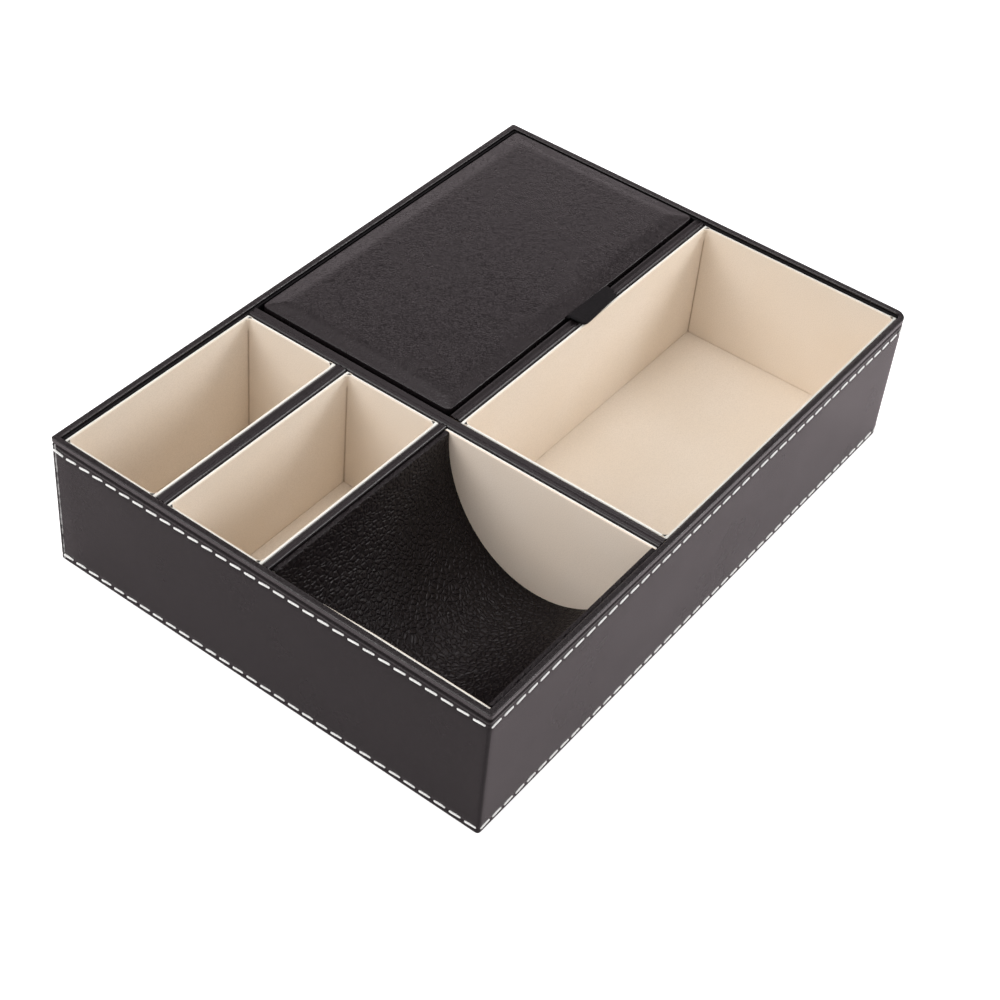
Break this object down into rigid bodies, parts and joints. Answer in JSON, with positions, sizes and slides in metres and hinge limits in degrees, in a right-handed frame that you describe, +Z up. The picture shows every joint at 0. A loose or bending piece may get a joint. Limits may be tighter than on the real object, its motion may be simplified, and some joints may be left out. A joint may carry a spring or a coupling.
{
  "type": "nightstand organizer box",
  "caption": "Open leather-wrapped valet tray with two narrow slots, an open compartment, a curved coin scoop and a compartment under a hinged padded lid.",
  "frame": {"origin": "centre of the underside", "axes": "+X along the long side, to the right seen from the front; +Y to the back, where the lid is hinged; +Z up"},
  "size_m": [0.265, 0.19, 0.06],
  "materials": {
    "leather": "fine-grained faux leather, satin",
    "scoop_leather": "pebbled faux leather, satin",
    "suede": "cream suede on card, matt",
    "base_felt": "black flocked card, matt",
    "board": "fibreboard, matt",
    "card": "grey card, matt",
    "foam": "soft foam, matt",
    "thread": "white sewing thread, matt"
  },
  "bodies": {
    "tray": {"base_cover": "base_felt", "base_board": "board", "front_wall_board": "board", "back_wall_board": "board", "left_wall_board": "board", "right_wall_board": "board", "side_leather": "leather", "rim_leather": "leather", "cross_divider_board": "board", "cross_divider_leather": "leather", "tray_divider_board": "board", "tray_divider_leather": "leather", "scoop_divider_board": "board", "scoop_divider_leather": "leather", "slot_divider_board": "board", "slot_divider_leather": "leather", "rear_slot_floor_lining": "suede", "rear_slot_front_lining": "suede", "rear_slot_back_lining": "suede", "rear_slot_left_lining": "suede", "rear_slot_right_lining": "suede", "middle_slot_floor_lining": "suede", "middle_slot_front_lining": "suede", "middle_slot_back_lining": "suede", "middle_slot_left_lining": "suede", "middle_slot_right_lining": "suede", "tray_floor_lining": "suede", "tray_front_lining": "suede", "tray_back_lining": "suede", "tray_left_lining": "suede", "tray_right_lining": "suede", "bay_floor_lining": "suede", "bay_front_lining": "suede", "bay_back_lining": "suede", "bay_left_lining": "suede", "bay_right_lining": "suede", "scoop_card": "card", "scoop_leather": "scoop_leather", "scoop_right_lining": "suede", "scoop_left_lining": "suede", "hinge_wall_leaf": "leather"},
    "lid": {"lid_board": "board", "lid_lining": "suede", "lid_pad": "foam", "lid_cover": "leather", "lid_tab": "leather", "hinge_lid_leaf": "leather"}
  },
  "joints": [
    {"name": "lid_hinge", "type": "hinge", "parent": "tray", "child": "lid", "pos_m": [0, 0.09115, 0.0583], "axis": [-1, 0, 0], "range_deg": [0, 105]}
  ]
}
